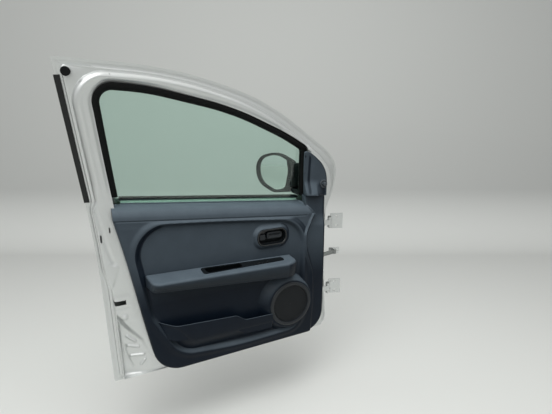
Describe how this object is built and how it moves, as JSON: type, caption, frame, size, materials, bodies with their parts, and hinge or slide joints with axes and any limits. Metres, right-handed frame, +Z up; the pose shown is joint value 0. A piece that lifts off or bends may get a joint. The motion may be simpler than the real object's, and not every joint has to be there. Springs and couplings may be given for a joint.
{
  "type": "car front left door",
  "caption": "Complete front left door of a small hatchback: steel skin and frame, glass, moulded trim with armrest, speaker and pocket, folding mirror, latch, hinges and check strap.",
  "frame": {"origin": "centre of the upper hinge's mounting face on the pillar, midway between its two bolt holes", "axes": "door's own axes as it stands open: +X along the door to its hinge edge, +Y outboard through the outer skin, +Z up; the pillar's mounting faces look along the car's forward direction, 70 degrees round from +X towards +Y"},
  "size_m": [1.0855, 0.4192, 1.1007],
  "materials": {
    "body_paint": "silver metallic paint, glossy",
    "rubber": "matt black",
    "glass": "pale green tint, clear",
    "black_film": "satin black film",
    "trim_plastic": "charcoal, fine grain",
    "black_plastic": "black, fine grain",
    "gloss_plastic": "black, smooth",
    "zinc_steel": "zinc plated",
    "mirror_glass": "silvered glass"
  },
  "bodies": {
    "pillar_side": {"hinge_body_leaf_upper": "body_paint", "hinge_body_leaf_lower": "body_paint", "hinge_pin_upper": "zinc_steel", "hinge_pin_lower": "zinc_steel", "check_bracket": "body_paint"},
    "door": {"armrest": "trim_plastic", "belt_seal_inner": "rubber", "belt_seal_outer": "rubber", "check_guide": "black_plastic", "corner_plug": "rubber", "door_inner_panel": "body_paint", "door_latch": "zinc_steel", "door_outer_skin": "body_paint", "glass_run_seal": "rubber", "hinge_door_leaf_lower": "body_paint", "hinge_door_leaf_upper": "body_paint", "inner_handle_bezel": "black_plastic", "inner_handle_lever": "gloss_plastic", "inner_lock_tab": "gloss_plastic", "latch_claw": "zinc_steel", "lock_cylinder": "zinc_steel", "map_pocket": "trim_plastic", "mirror_base": "black_plastic", "mirror_knob": "gloss_plastic", "outer_handle_cup": "black_plastic", "outer_handle_grip": "black_plastic", "pillar_strip": "black_film", "sail_cover": "black_plastic", "speaker_grille": "trim_plastic", "speaker_ring": "trim_plastic", "switch_plate": "black_plastic", "trim_panel": "trim_plastic", "window_glass": "glass", "window_switch_1": "black_plastic", "window_switch_2": "black_plastic"},
    "check_strap": {"check_arm": "zinc_steel"},
    "mirror_head": {"mirror_housing": "black_plastic", "mirror_glass": "mirror_glass"}
  },
  "joints": [
    {"name": "door_swing", "type": "hinge", "parent": "pillar_side", "child": "door", "pos_m": [-0.04101, -0.00742, 0], "axis": [0, 0, 1], "range_deg": [0, 70]},
    {"name": "check_strap_turn", "type": "hinge", "parent": "pillar_side", "child": "check_strap", "pos_m": [-0.01008, -0.01016, -0.14], "axis": [0, 0, 1], "range_deg": [0, 52.5]},
    {"name": "mirror_fold", "type": "hinge", "parent": "door", "child": "mirror_head", "pos_m": [-0.16601, 0.06458, 0.21], "axis": [0, 0, 1], "range_deg": [-60, 55]}
  ],
  "couplings": [
    {"joint": "check_strap_turn", "follows": "door_swing", "ratio": 0.74288}
  ]
}
